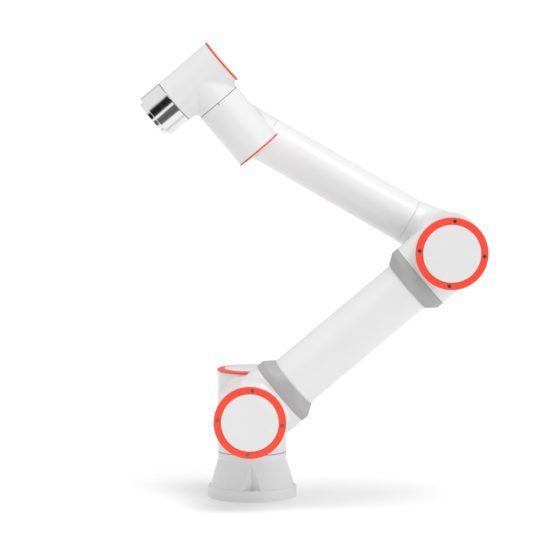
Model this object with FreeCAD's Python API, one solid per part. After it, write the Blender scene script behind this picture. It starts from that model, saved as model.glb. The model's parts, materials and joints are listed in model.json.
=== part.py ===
import FreeCAD, Part
import math
import os
from collections import namedtuple
from FreeCAD import Placement, Rotation, Vector

# Six-axis collaborative robot arm, 922 mm reach, for a payload of about 5 kg.
# Millimetres, +Z up. The origin is the centre of the base bolt circle, on the mounting face.
# The arm reaches towards +X. The shoulder, elbow and first wrist axes are parallel to Y.

# Link lengths
SHOULDER_HEIGHT = 152.0
UPPER_ARM_LENGTH = 425.0
FOREARM_LENGTH = 395.0
WRIST_OFFSET = 102.0
TOOL_FACE = 100.0

# Pose at rest: directions above the +X axis. The tool points at a right angle to the first wrist.
UPPER_ARM_ANGLE = 40.2
FOREARM_ANGLE = 150.0
WRIST_ANGLE = 130.4

# Joint castings. seam is the distance from the casting's centre to the rotating face,
# back to the face under the cap, and stub to the rotating face of the casting's own stub.
# ring, disc and screw are radii on the cap, thread its screws' radius and rise the cap's height.
Size = namedtuple("Size", "shell bore seat web seam back stub ring disc screw thread rise")
LARGE = Size(57.4, 47.0, 49.0, 42.0, 76.0, 60.0, 64.0, 58.7, 46.6, 52.4, 1.75, 5.2)
SMALL = Size(39.0, 32.0, 33.4, 28.6, 54.0, 46.0, 48.0, 40.0, 31.8, 35.8, 1.25, 3.6)
TAPERED = SMALL._replace(back=40.0, ring=35.0, disc=27.4, screw=31.2)
TAPERED_SHELL = 35.0
TAPERED_BORE = 27.5
TAPERED_STEP = -20.0
TAPER_BLEND = 60.0
UPPER_ARM_PLANE = -(LARGE.stub + LARGE.seam)
SEAM_GAP = 0.8
RUNNING_GAP = 0.3
CREASE_RELIEF = 0.25

# Base
FOOT_RADIUS = 74.5
FOOT_HEIGHT = 19.0
FOOT_CORNER = 3.0
CONE_FOOT_RADIUS = 71.0
CONE_TOP = 64.0
CONE_BLEND = 12.0
BASE_SEAM = SHOULDER_HEIGHT - LARGE.seam
BASE_BOLT_RADIUS = 66.0
BASE_HOLE_RADIUS = 4.25
NOTCH_DEPTH_RADIUS = 58.0
NOTCH_ANGLE = 110.0
BASE_CAVITY_RADIUS = 48.0
BASE_PLATE_RADIUS = 54.0
BASE_PLATE_THICKNESS = 3.0
SOCKET_RADIUS = 12.0
SOCKET_AZIMUTH = 116.0
SOCKET_HEIGHT = 42.0

# Arm tubes and the collars around the ends of the upper one
UPPER_TUBE_RADIUS = 44.5
FORE_TUBE_RADIUS = 38.5
TUBE_WALL = 4.0
SPIGOT_LENGTH = 18.0
STUB_HALF_DEPTH = 47.5
STUB_LENGTH = 63.5
STUB_SQUARENESS = 3.0
COLLAR_WALL = 11.5
COLLAR_TAPER = 16.0
COLLAR_END_RADIUS = 46.3
FORE_STUB_LENGTH = 74.0
FORE_STUB_ROOT = 51.3
FORE_BACK = 52.0
FORE_BACK_RADIUS = 49.0
FORE_BACK_ROUNDING = 14.0
FORE_FLOOR = 16.0
WRIST_STUB_LENGTH = 48.0

# Tool flange to ISO 9409-1-50-4-M6
FLANGE_RADIUS = 39.0
BOSS_RADIUS = 31.5
BOSS_HEIGHT = 6.4
PILOT_RADIUS = 15.75
PILOT_DEPTH = 6.2
TOOL_BOLT_RADIUS = 25.0
TOOL_THREAD_RADIUS = 2.5
TOOL_THREAD_DEPTH = 12.0
FLANGE_HOLLOW = 16.0
DOWEL_RADIUS = 3.0
CONNECTOR_RADIUS = 6.6
CONNECTOR_STATION = 82.0
CONTACT_CIRCLE = 2.8

# Joint module. Heights in a casting as shares of the seam's, radii and heights for the large size
BORE_END = 0.55
SEAT_START = 0.6
RECESS = 0.105
RECESS_WEB = 0.08
WEB_OPENING = 0.62
SHAFT_BORE = 10.5
SHAFT = 14.0
ENCODER_DISC = 22.0
BRAKE_DISC = 26.0
AIR_GAP = 27.0
CUP_INNER = 30.0
CUP_OUTER = 40.0
STATOR_ENDS = (4.0, 8.0, 34.0, 38.0)
WINDINGS = (30.0, 41.0, 44.0)
MOVING_GAP = 0.42

# Small marks and fixings
CAP_SCREW_TURN = 45.0
CAP_SCREW_LENGTH = 10.0
CAP_LIFT = 0.3
CAP_PLUG_WALL = 4.8
CAP_PLUG_DEPTH = 6.0
HEAD_RATIO = 1.6
HEAD_RECESS = 1.75
HEAD_SEAT = 0.36
HEAD_TOP = 0.6
MARK_WIDTH = 1.2
MARK_LENGTH = 3.0
MARK_DEPTH = 0.5
SET_SCREW_STATION = 60.0
SET_SCREW_RADIUS = 2.0
SECTION_POINTS = 48

X_AXIS = Vector(1, 0, 0)
Y_AXIS = Vector(0, 1, 0)
Z_AXIS = Vector(0, 0, 1)
ORIGIN = Vector(0, 0, 0)


def direction(angle):
    """Direction in the XZ plane, at an angle in degrees above +X."""
    return Vector(math.cos(math.radians(angle)), 0, math.sin(math.radians(angle)))


def frame(origin, z_axis, x_axis):
    """Placement that carries local Z to z_axis and local X to x_axis."""
    return Placement(origin, Rotation(x_axis, z_axis.cross(x_axis), z_axis, "ZXY"))


def placed(shape, placement):
    """Copy of a shape, moved from its local frame to the arm's frame."""
    moved = shape.copy()
    moved.Placement = placement.multiply(moved.Placement)
    return moved


def save(node, shape):
    """Write one node, after checking that each of its solids is sound."""
    for solid in shape.Solids:
        if not solid.isValid() or solid.Volume <= 0:
            raise ValueError("bad solid in " + node)
    shape.exportStep("parts/" + node + ".step")
    print("%-28s %2d solid(s) %9.1f cm3" % (node, len(shape.Solids), shape.Volume / 1000))


def rounded_wire(points):
    """Closed outline through (radius, height) points, rounded where a third value gives a radius."""
    corners = [Vector(p[0], 0, p[1]) for p in points]
    radii = [p[2] if len(p) > 2 else 0 for p in points]
    edges = []
    starts = []
    ends = []
    for i, corner in enumerate(corners):
        to_last = (corners[i - 1] - corner).normalize()
        to_next = (corners[(i + 1) % len(corners)] - corner).normalize()
        if radii[i] == 0:
            starts.append(corner)
            ends.append(corner)
            continue
        half = to_last.getAngle(to_next) / 2
        reach = radii[i] / math.tan(half)
        middle = corner + (to_last + to_next).normalize() * (radii[i] / math.sin(half) - radii[i])
        starts.append(corner + to_last * reach)
        ends.append(corner + to_next * reach)
        edges.append(Part.Arc(starts[i], middle, ends[i]).toShape())
    for i in range(len(corners)):
        following = (i + 1) % len(corners)
        edges.append(Part.LineSegment(ends[i], starts[following]).toShape())
    return Part.Wire(Part.__sortEdges__(edges))


def turned(*points):
    """Solid of revolution about local Z."""
    return Part.Face(rounded_wire(points)).revolve(ORIGIN, Z_AXIS, 360)


def tube(inner, outer, low, high):
    """Plain ring between two radii and two heights."""
    return turned((inner, low), (outer, low), (outer, high), (inner, high))


def rod(radius, low, high):
    """Cylinder on local Z."""
    return Part.makeCylinder(radius, high - low, Vector(0, 0, low))


def around(shape, count, start=0.0):
    """Copies of a shape, evenly turned about local Z."""
    copies = []
    for i in range(count):
        turn = Rotation(Z_AXIS, start + 360.0 * i / count)
        copies.append(placed(shape, Placement(ORIGIN, turn)))
    return copies


def along_x(shape):
    """Turn a shape made on local Z so that it lies on local X."""
    return placed(shape, frame(ORIGIN, X_AXIS, Y_AXIS))


def stub_section(station, half_width, half_depth, squareness):
    """Closed section across local X: a circle when squareness is 2, and squarer above that."""
    power = 2.0 / squareness
    points = []
    for i in range(SECTION_POINTS):
        angle = 2 * math.pi * i / SECTION_POINTS
        c = math.cos(angle)
        s = math.sin(angle)
        points.append(Vector(
            station,
            half_width * math.copysign(abs(c) ** power, c),
            half_depth * math.copysign(abs(s) ** power, s),
        ))
    curve = Part.BSplineCurve()
    curve.interpolate(Points=points, PeriodicFlag=True)
    return Part.Wire(curve.toShape())


def arm_section(station):
    """Section of the upper arm's stubs and of the collars' walls."""
    return stub_section(station, LARGE.shell - CREASE_RELIEF, STUB_HALF_DEPTH, STUB_SQUARENESS)


# ---------------------------------------------------------------- joint castings

def cap_screw_places(size):
    """Local placements of the four cap screws, on the side away from the rotating face."""
    places = []
    for i in range(4):
        turn = Rotation(Z_AXIS, CAP_SCREW_TURN + 90.0 * i)
        places.append(Placement(turn.multVec(Vector(size.screw, 0, 0)), turn))
    return places


def screw_holes(size):
    """Threaded holes of the cap screws, in the face under the cap."""
    hole = rod(size.thread, -size.back - 1, -size.back + CAP_SCREW_LENGTH + 2)
    return Part.makeCompound([placed(hole, place) for place in cap_screw_places(size)])


def module_cavity(size, low):
    """Hollow for a joint module, from a height up: motor bore, web and gear seat."""
    step = size.seam * BORE_END
    seat = size.seam * SEAT_START
    hollow = rod(size.bore, low, step)
    hollow = hollow.fuse(rod(size.web, step - 1, seat + 1))
    return hollow.fuse(rod(size.seat, seat, size.seam + 1))


def casting_shell(size):
    """Outside of a joint casting, on local Z, with eased ends."""
    low = -size.back
    high = size.seam - SEAM_GAP / 2
    return turned((0, low), (size.shell, low, 0.8), (size.shell, high, 0.6), (0, high))


def receiver(size, depth):
    """Hollow of a stub that takes the next module's output hub, from its face at height 0 down."""
    recess = size.seam * RECESS
    web = size.seam * RECESS_WEB
    hollow = rod(size.bore, -recess, 1)
    hollow = hollow.fuse(rod(size.web * WEB_OPENING, -recess - web - 1, 0))
    return hollow.fuse(rod(size.web, -depth, -recess - web))


def on_stub(shape, reach):
    """Carry a shape from a face at height 0 to the stub's face on local X."""
    return placed(along_x(shape), Placement(Vector(reach, 0, 0), Rotation()))


def joint_casting(size):
    """Casting that holds one module and takes the module before it on a round stub."""
    reach = size.stub - SEAM_GAP / 2
    outer = size.shell - CREASE_RELIEF
    stub = turned((0, 0), (outer, 0), (outer, reach, 0.6), (0, reach))
    body = casting_shell(size).fuse(along_x(stub))
    body = body.cut(module_cavity(size, -size.back - 1)).cut(screw_holes(size))
    body = body.cut(on_stub(receiver(size, reach), size.stub))
    return body.removeSplitter()


def spigot(tube_radius, station):
    """Plug that enters an arm tube, on local X."""
    inner = tube_radius - TUBE_WALL
    return along_x(rod(inner, station - 1, station + SPIGOT_LENGTH))


def upper_arm_casting():
    """Casting at either end of the upper arm, with a square-shouldered stub for the collar."""
    stub = Part.makeLoft([arm_section(0), arm_section(STUB_LENGTH)], True, True)
    body = casting_shell(LARGE).fuse(stub)
    body = body.fuse(spigot(UPPER_TUBE_RADIUS, STUB_LENGTH))
    body = body.cut(module_cavity(LARGE, -LARGE.back - 1)).cut(screw_holes(LARGE))
    wiring = UPPER_TUBE_RADIUS - 2 * TUBE_WALL
    body = body.cut(along_x(rod(wiring, 0, STUB_LENGTH + SPIGOT_LENGTH + 1)))
    return body.removeSplitter()


def forearm_wrist_casting():
    """Casting at the far end of the forearm, which holds the first wrist module and tapers to its cap."""
    low = -TAPERED.back
    high = SMALL.seam - SEAM_GAP / 2
    shell = turned(
        (0, low), (TAPERED_SHELL, low, 1.5), (SMALL.shell, 0, TAPER_BLEND),
        (SMALL.shell, high, 0.6), (0, high),
    )
    body = shell.fuse(along_x(rod(FORE_TUBE_RADIUS, 0, WRIST_STUB_LENGTH)))
    body = body.fuse(spigot(FORE_TUBE_RADIUS, WRIST_STUB_LENGTH))
    body = body.cut(module_cavity(SMALL, TAPERED_STEP)).cut(rod(TAPERED_BORE, low - 1, TAPERED_STEP + 1))
    body = body.cut(screw_holes(TAPERED))
    wiring = FORE_TUBE_RADIUS - 2 * TUBE_WALL
    body = body.cut(along_x(rod(wiring, 0, WRIST_STUB_LENGTH + SPIGOT_LENGTH + 1)))
    return body.removeSplitter()


def forearm_elbow_casting():
    """Casting that turns on the elbow: a closed, tapered drum and stub, face at height 0."""
    low = -(FORE_BACK + LARGE.stub)
    high = -SEAM_GAP / 2
    drum = turned((0, low), (FORE_BACK_RADIUS, low, FORE_BACK_ROUNDING), (LARGE.shell, high, 0.6), (0, high))
    end = (FORE_TUBE_RADIUS, FORE_STUB_LENGTH)
    cone = turned((0, 0), (FORE_STUB_ROOT, 0), end, (0, FORE_STUB_LENGTH))
    centre = Placement(Vector(0, 0, -LARGE.stub), Rotation())
    body = drum.fuse(placed(along_x(cone), centre))
    body = body.fuse(placed(spigot(FORE_TUBE_RADIUS, FORE_STUB_LENGTH), centre))
    body = body.cut(receiver(LARGE, FORE_BACK + LARGE.stub - FORE_FLOOR))
    wiring = FORE_TUBE_RADIUS - 2 * TUBE_WALL
    channel = along_x(rod(wiring, 0, FORE_STUB_LENGTH + SPIGOT_LENGTH + 1))
    body = body.cut(placed(channel, centre))
    return body.cut(placed(rod(SET_SCREW_RADIUS, -9, 2), set_screw_place())).removeSplitter()


def alignment_mark(size):
    """Groove at the rotating face that shows the joint's zero, on the side away from the stub."""
    low = size.seam - SEAM_GAP / 2 - MARK_LENGTH
    corner = Vector(-size.shell - 1, -MARK_WIDTH / 2, low)
    return Part.makeBox(MARK_DEPTH + 1, MARK_WIDTH, MARK_LENGTH + 1, corner)


def set_screw_place():
    """Frame on the front of the forearm's tapered stub, from the elbow casting's own frame."""
    slope = (FORE_STUB_ROOT - FORE_TUBE_RADIUS) / FORE_STUB_LENGTH
    radius = FORE_STUB_ROOT - slope * SET_SCREW_STATION
    return frame(Vector(SET_SCREW_STATION, 0, radius - LARGE.stub), Z_AXIS, X_AXIS)


def set_screw():
    """Headless socket screw that locks the forearm tube, just below the surface."""
    screw = rod(SET_SCREW_RADIUS, -9, -1.2)
    return screw.cut(hexagon(SET_SCREW_RADIUS, -3.2, 0))


# ---------------------------------------------------------------- caps

def cap(size, rim, bore):
    """White end cap: a plug in the bore, a thin flange under the ring and a raised disc."""
    face = -size.back
    rise = size.rise
    plate = turned(
        (0, face - CAP_LIFT), (rim - 1, face - CAP_LIFT), (rim - 1, face - 0.3 * rise),
        (size.disc, face - 0.3 * rise), (size.disc, face - 0.88 * rise, 0.13 * rise), (0, face - rise),
    )
    plug = tube(bore - CAP_PLUG_WALL, bore - 0.2, face - 2 * CAP_LIFT, face + CAP_PLUG_DEPTH)
    body = plate.fuse(plug)
    for place in cap_screw_places(size):
        body = body.cut(placed(rod(size.thread + 0.2, face - rise - 1, face + CAP_PLUG_DEPTH + 1), place))
    return body.removeSplitter()


def cap_ring(size, rim):
    """Coloured ring around the cap's disc, with a sloped rim."""
    face = -size.back
    rise = size.rise
    body = turned(
        (size.disc + 0.2, face - 0.3 * rise), (rim - 0.8, face - 0.3 * rise), (rim - 0.8, face - CAP_LIFT),
        (size.ring, face - CAP_LIFT, 0.2), (size.ring, face - 0.42 * rise, 0.07 * rise),
        (size.ring - 0.25 * rise, face - 0.62 * rise, 0.07 * rise),
        (size.disc + 0.2, face - 0.66 * rise, 0.06 * rise),
    )
    for place in cap_screw_places(size):
        body = body.cut(placed(rod(size.thread * HEAD_RECESS, face - rise, face - HEAD_SEAT * rise), place))
        body = body.cut(placed(rod(size.thread + 0.2, face - rise, face + 1), place))
    return body


def hexagon(across_flats, low, high):
    """Hexagonal prism on local Z."""
    corner = across_flats / math.sqrt(3)
    ring = []
    for i in range(7):
        angle = math.radians(60 * i)
        ring.append(Vector(corner * math.cos(angle), corner * math.sin(angle), low))
    return Part.Face(Part.makePolygon(ring)).extrude(Vector(0, 0, high - low))


def cap_screw(size):
    """Socket screw on local Z, with its head sunk in the ring."""
    face = -size.back
    seat = face - HEAD_SEAT * size.rise
    top = face - HEAD_TOP * size.rise
    radius = size.thread * HEAD_RATIO
    head = turned((0, seat), (radius, seat), (radius, top, 0.3), (0, top))
    screw = head.fuse(rod(size.thread, seat - 0.1, face + CAP_SCREW_LENGTH))
    return screw.cut(hexagon(size.thread * HEAD_RATIO, top - 1, seat - 0.35))


def cap_screws(size):
    """The four screws that hold one cap and its ring."""
    return Part.makeCompound([placed(cap_screw(size), place) for place in cap_screw_places(size)])


# ---------------------------------------------------------------- joint modules

def module_scale(size):
    """Radial and axial scale of a module's parts, against the large one."""
    return size.shell / LARGE.shell, size.seam / LARGE.seam


def gear_ring(size):
    """Rigid ring of the strain wave gear with the bearing's outer race, in the gear seat."""
    radial, axial = module_scale(size)
    low = size.seam * SEAT_START
    inner = CUP_OUTER * radial + RUNNING_GAP
    race = size.seam - 7 * axial
    return turned(
        (inner, low), (size.seat, low), (size.seat, size.seam - 4 * axial),
        (inner + 3, size.seam - 4 * axial), (inner + 3, race), (inner, race),
    )


def output_hub(size):
    """Output of the module: flexible cup, bearing's inner race and the flange in the next stub."""
    radial, axial = module_scale(size)
    face = size.seam
    low = face * SEAT_START
    cup = CUP_INNER * radial
    race = CUP_OUTER * radial
    flange = size.bore - 0.4
    top = face * (1 + RECESS)
    wiring = 12 * radial
    return turned(
        (cup, low), (race, low), (race, face + 1.2), (flange, face + 1.2), (flange, top), (wiring, top),
        (wiring, face - 8 * axial), (cup, face - 8 * axial),
    )


def motor_stator(size):
    """Ring of laminations and windings, seated in the motor bore."""
    radial, axial = module_scale(size)
    inner = AIR_GAP * radial
    low, core_low, core_high, high = (height * axial for height in STATOR_ENDS)
    start, end, foot = (radius * radial for radius in WINDINGS)
    return turned(
        (inner, core_low), (start, low, 1), (end, low, 1), (foot, core_low), (size.bore, core_low),
        (size.bore, core_high), (foot, core_high), (end, high, 1), (start, high, 1), (inner, core_high),
    )


def motor_rotor(size):
    """Hollow shaft with its encoder disc, brake disc, magnets and wave generator."""
    radial, axial = module_scale(size)
    shaft = SHAFT * radial
    generator = size.seam * SEAT_START + 4 * axial
    end = size.seam * SEAT_START + 18 * axial
    steps = [(-36, SHAFT), (-33, ENCODER_DISC), (-31, SHAFT), (-18, BRAKE_DISC), (-13, SHAFT)]
    outline = [(SHAFT_BORE * radial, -36 * axial)]
    for (low, radius), (high, _) in zip(steps, steps[1:]):
        outline += [(radius * radial, low * axial), (radius * radial, high * axial)]
    magnets = AIR_GAP * radial - MOVING_GAP
    core_low, core_high = STATOR_ENDS[1] * axial, STATOR_ENDS[2] * axial
    outline += [(shaft, -13 * axial), (shaft, core_low), (magnets, core_low), (magnets, core_high)]
    wave = CUP_INNER * radial - MOVING_GAP
    outline += [(shaft, core_high), (shaft, generator), (wave, generator), (wave, end)]
    outline += [(SHAFT_BORE * radial, end)]
    return turned(*outline)


# ---------------------------------------------------------------- base

def notch():
    """Wedge cut out of the foot's cone over one bolt, opening along local X."""
    reach = FOOT_RADIUS
    half_width = reach * math.tan(math.radians(NOTCH_ANGLE / 2))
    tip = Vector(NOTCH_DEPTH_RADIUS, 0, FOOT_HEIGHT)
    left = tip + Vector(reach, half_width, 0)
    right = tip + Vector(reach, -half_width, 0)
    wedge = Part.Face(Part.makePolygon([tip, left, right, tip]))
    return wedge.extrude(Vector(0, 0, BASE_SEAM - FOOT_HEIGHT + 1))


def base_casting():
    """Foot, cone and column, with four notches over the bolt holes."""
    top = BASE_SEAM - SEAM_GAP / 2
    body = turned(
        (0, 0), (FOOT_RADIUS, 0), (FOOT_RADIUS, FOOT_HEIGHT, FOOT_CORNER), (CONE_FOOT_RADIUS, FOOT_HEIGHT),
        (LARGE.shell, CONE_TOP, CONE_BLEND), (LARGE.shell, top, 0.6), (0, top),
    )
    for wedge in around(notch(), 4):
        body = body.cut(wedge)
    hole = rod(BASE_HOLE_RADIUS, -1, FOOT_HEIGHT + 1)
    hole.translate(Vector(BASE_BOLT_RADIUS, 0, 0))
    for copy in around(hole, 4):
        body = body.cut(copy)
    body = body.cut(rod(BASE_PLATE_RADIUS + 0.2, -1, BASE_PLATE_THICKNESS))
    body = body.cut(rod(BASE_CAVITY_RADIUS, 0, BASE_SEAM * 0.8))
    seat = Placement(Vector(0, 0, BASE_SEAM), Rotation())
    body = body.cut(placed(receiver(LARGE, BASE_SEAM * 0.4), seat))
    body = body.cut(placed(rod(SOCKET_RADIUS - 2, -30, 20), socket_place()))
    return body.removeSplitter()


def socket_place():
    """Frame on the cone, behind the arm and between two notches, for the power and signal socket."""
    azimuth = math.radians(SOCKET_AZIMUTH)
    outward = Vector(math.cos(azimuth), math.sin(azimuth), 0)
    cone_run = (SOCKET_HEIGHT - FOOT_HEIGHT) / (CONE_TOP - FOOT_HEIGHT)
    radius = CONE_FOOT_RADIUS + (LARGE.shell - CONE_FOOT_RADIUS) * cone_run
    return frame(outward * radius + Vector(0, 0, SOCKET_HEIGHT), outward, Z_AXIS)


def base_plate():
    """Cover that closes the base from below, flush with the mounting face."""
    plate = rod(BASE_PLATE_RADIUS, 0, BASE_PLATE_THICKNESS)
    return plate.cut(rod(6, -1, BASE_PLATE_THICKNESS + 1))


def base_socket():
    """Round metal socket for the robot cable, with its coupling thread's collar and insert."""
    return turned(
        (0, -14), (SOCKET_RADIUS - 2.1, -14), (SOCKET_RADIUS - 2.1, 5.5), (SOCKET_RADIUS + 2.5, 5.5),
        (SOCKET_RADIUS + 2.5, 9, 0.5), (SOCKET_RADIUS, 9), (SOCKET_RADIUS, 17, 0.5), (SOCKET_RADIUS - 2, 17),
        (SOCKET_RADIUS - 2, 13.5), (SOCKET_RADIUS - 3.2, 13.5), (SOCKET_RADIUS - 3.2, 15.5), (0, 15.5),
    )


# ---------------------------------------------------------------- tool end

def tool_flange():
    """Metal flange on local Z, from the last rotating face to the tool face, with standard holes."""
    low = SMALL.seam + SEAM_GAP / 2
    shoulder = TOOL_FACE - BOSS_HEIGHT
    body = turned(
        (0, low), (FLANGE_RADIUS, low, 0.4), (FLANGE_RADIUS, shoulder, 0.8), (BOSS_RADIUS, shoulder),
        (BOSS_RADIUS, TOOL_FACE, 0.5), (0, TOOL_FACE),
    )
    face = Placement(Vector(0, 0, SMALL.seam), Rotation(X_AXIS, 180))
    body = body.cut(placed(receiver(SMALL, FLANGE_HOLLOW), face))
    body = body.cut(rod(PILOT_RADIUS, TOOL_FACE - PILOT_DEPTH, TOOL_FACE + 1))
    bolt = rod(TOOL_THREAD_RADIUS, TOOL_FACE - TOOL_THREAD_DEPTH, TOOL_FACE + 1)
    bolt.translate(Vector(TOOL_BOLT_RADIUS, 0, 0))
    for hole in around(bolt, 4, 45.0):
        body = body.cut(hole)
    dowel = rod(DOWEL_RADIUS, shoulder, TOOL_FACE + 1)
    dowel.translate(Vector(TOOL_BOLT_RADIUS, 0, 0))
    body = body.cut(dowel)
    return body.cut(placed(rod(CONNECTOR_RADIUS, -12, 1), connector_place())).removeSplitter()


def connector_place():
    """Frame on the flange's side for the tool connector."""
    return frame(Vector(0, -FLANGE_RADIUS, CONNECTOR_STATION), Vector(0, -1, 0), X_AXIS)


def tool_connector():
    """Round connector, sunk in the flange's side, with a ring of eight contact holes, on local Z."""
    outer = CONNECTOR_RADIUS
    body = turned(
        (0, -12), (outer, -12), (outer, 0, 0.3), (outer - 1.3, 0), (outer - 1.3, -3), (outer - 2.3, -3),
        (outer - 2.3, -1.6), (0, -1.6),
    )
    contact = placed(rod(0.45, -5, -1), Placement(Vector(CONTACT_CIRCLE, 0, 0), Rotation()))
    for hole in around(contact, 8):
        body = body.cut(hole)
    return body


# ---------------------------------------------------------------- arm tubes

def arm_tube(radius, start, end):
    """Drawn aluminium tube on local X."""
    return along_x(tube(radius - TUBE_WALL, radius, start, end))


def collar():
    """Grey collar that eases a square-shouldered stub down to the round tube, on local X."""
    wall_end = STUB_LENGTH + COLLAR_WALL
    taper_end = wall_end + COLLAR_TAPER
    wall = Part.makeLoft([arm_section(STUB_LENGTH + 0.2), arm_section(wall_end)], True, True)
    round_end = stub_section(taper_end, COLLAR_END_RADIUS, COLLAR_END_RADIUS, 2.0)
    taper = Part.makeLoft([arm_section(wall_end), round_end], True, True)
    body = wall.fuse(taper)
    body = body.cut(along_x(rod(UPPER_TUBE_RADIUS, STUB_LENGTH, taper_end + 1)))
    return body.cut(along_x(rod(UPPER_TUBE_RADIUS + 1.2, taper_end - 3, taper_end + 1))).removeSplitter()


# ---------------------------------------------------------------- arm

def joint_frames():
    """Casting frames of the six modules at rest: local Z is the axis, towards the rotating face."""
    arm = direction(UPPER_ARM_ANGLE)
    fore = direction(FOREARM_ANGLE)
    wrist = direction(WRIST_ANGLE)
    shoulder = Vector(0, 0, SHOULDER_HEIGHT)
    elbow = shoulder + arm * UPPER_ARM_LENGTH
    wrist_1 = elbow + fore * FOREARM_LENGTH
    wrist_2 = wrist_1 - Y_AXIS * WRIST_OFFSET
    wrist_3 = wrist_2 + wrist * WRIST_OFFSET
    tool = direction(WRIST_ANGLE + 90)
    plane = Y_AXIS * UPPER_ARM_PLANE
    return [
        frame(shoulder, -Z_AXIS, -Y_AXIS),
        frame(shoulder + plane, Y_AXIS, arm),
        frame(elbow + plane, Y_AXIS, -arm),
        frame(wrist_1, -Y_AXIS, -fore),
        frame(wrist_2, wrist, Y_AXIS),
        frame(wrist_3, tool, -wrist),
    ]


def build():
    """Every node of the arm, by name."""
    frames = joint_frames()
    sizes = [LARGE, LARGE, LARGE, SMALL, SMALL, SMALL]
    owners = ["shoulder", "upper_arm_lower", "upper_arm_upper", "forearm", "wrist_1", "wrist_2"]
    castings = [
        ("shoulder_housing", joint_casting(LARGE)),
        ("upper_arm_lower_housing", upper_arm_casting()),
        ("upper_arm_upper_housing", upper_arm_casting()),
        ("forearm_wrist_housing", forearm_wrist_casting()),
        ("wrist_1_housing", joint_casting(SMALL).cut(alignment_mark(SMALL))),
        ("wrist_2_housing", joint_casting(SMALL)),
    ]
    nodes = {
        "base_casting": base_casting(),
        "base_plate": base_plate(),
        "base_socket": placed(base_socket(), socket_place()),
    }
    for joint, (name, shape) in enumerate(castings):
        nodes[name] = placed(shape, frames[joint])
    for joint, owner in enumerate(owners):
        size = sizes[joint]
        rim = size.shell
        bore = size.bore
        if owner == "forearm":
            size = TAPERED
            rim = TAPERED_SHELL
            bore = TAPERED_BORE
        nodes[owner + "_cap"] = placed(cap(size, rim, bore), frames[joint])
        nodes[owner + "_cap_ring"] = placed(cap_ring(size, rim), frames[joint])
        nodes[owner + "_cap_screws"] = placed(cap_screws(size), frames[joint])
    for joint, size in enumerate(sizes):
        prefix = "joint_%d_" % (joint + 1)
        nodes[prefix + "gear_ring"] = placed(gear_ring(size), frames[joint])
        nodes[prefix + "output_hub"] = placed(output_hub(size), frames[joint])
        nodes[prefix + "stator"] = placed(motor_stator(size), frames[joint])
        nodes[prefix + "rotor"] = placed(motor_rotor(size), frames[joint])

    upper_tube_start = STUB_LENGTH + 0.2
    upper_tube = arm_tube(UPPER_TUBE_RADIUS, upper_tube_start, UPPER_ARM_LENGTH - upper_tube_start)
    nodes["upper_arm_tube"] = placed(upper_tube, frames[1])
    nodes["upper_arm_lower_collar"] = placed(collar(), frames[1])
    nodes["upper_arm_upper_collar"] = placed(collar(), frames[2])

    fore_tube_end = FOREARM_LENGTH - FORE_STUB_LENGTH - 0.2
    fore_tube = arm_tube(FORE_TUBE_RADIUS, WRIST_STUB_LENGTH + 0.2, fore_tube_end)
    nodes["forearm_tube"] = placed(fore_tube, frames[3])
    elbow_face = frames[2].multVec(Vector(0, 0, LARGE.seam))
    elbow_frame = frame(elbow_face, -Y_AXIS, direction(FOREARM_ANGLE))
    nodes["forearm_elbow_housing"] = placed(forearm_elbow_casting(), elbow_frame)
    nodes["forearm_set_screw"] = placed(set_screw(), elbow_frame.multiply(set_screw_place()))

    nodes["tool_flange"] = placed(tool_flange(), frames[5])
    nodes["tool_connector"] = placed(tool_connector(), frames[5].multiply(connector_place()))
    return nodes


os.makedirs("parts", exist_ok=True)
for node, shape in build().items():
    save(node, shape)
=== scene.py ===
import json
import math
from collections import namedtuple

import bpy
import numpy as np
from mathutils import Matrix, Vector


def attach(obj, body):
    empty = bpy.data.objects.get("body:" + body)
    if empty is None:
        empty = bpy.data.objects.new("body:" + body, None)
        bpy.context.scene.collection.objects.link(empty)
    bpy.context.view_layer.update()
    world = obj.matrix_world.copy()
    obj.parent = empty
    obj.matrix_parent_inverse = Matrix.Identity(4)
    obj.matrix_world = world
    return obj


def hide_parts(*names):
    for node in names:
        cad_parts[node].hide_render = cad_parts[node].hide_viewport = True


# The looks of a six-axis collaborative robot arm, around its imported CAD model.
# Pieces are modelled in millimetres in the frame of their own joint casting, then placed in metres.

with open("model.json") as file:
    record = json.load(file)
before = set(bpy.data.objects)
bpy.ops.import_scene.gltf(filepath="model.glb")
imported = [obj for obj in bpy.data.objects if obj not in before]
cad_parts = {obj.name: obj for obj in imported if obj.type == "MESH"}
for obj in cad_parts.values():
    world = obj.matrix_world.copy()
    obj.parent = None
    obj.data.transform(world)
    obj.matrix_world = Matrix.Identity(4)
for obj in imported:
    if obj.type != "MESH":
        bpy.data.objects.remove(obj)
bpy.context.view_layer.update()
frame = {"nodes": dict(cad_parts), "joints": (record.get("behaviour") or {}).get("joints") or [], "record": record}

# ---------------------------------------------------------------- dimensions, in millimetres

Size = namedtuple("Size", "shell bore seam back stub disc rise")
LARGE = Size(57.4, 47.0, 76.0, 60.0, 64.0, 46.6, 5.2)
SMALL = Size(39.0, 32.0, 54.0, 46.0, 48.0, 31.8, 3.6)
TAPERED = SMALL._replace(shell=35.0, bore=27.5, back=40.0, disc=27.4)
UPPER_ARM_LENGTH = 425.0
FOREARM_LENGTH = 395.0
HALF_SEAM = 0.4
WALL = 4.0

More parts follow.
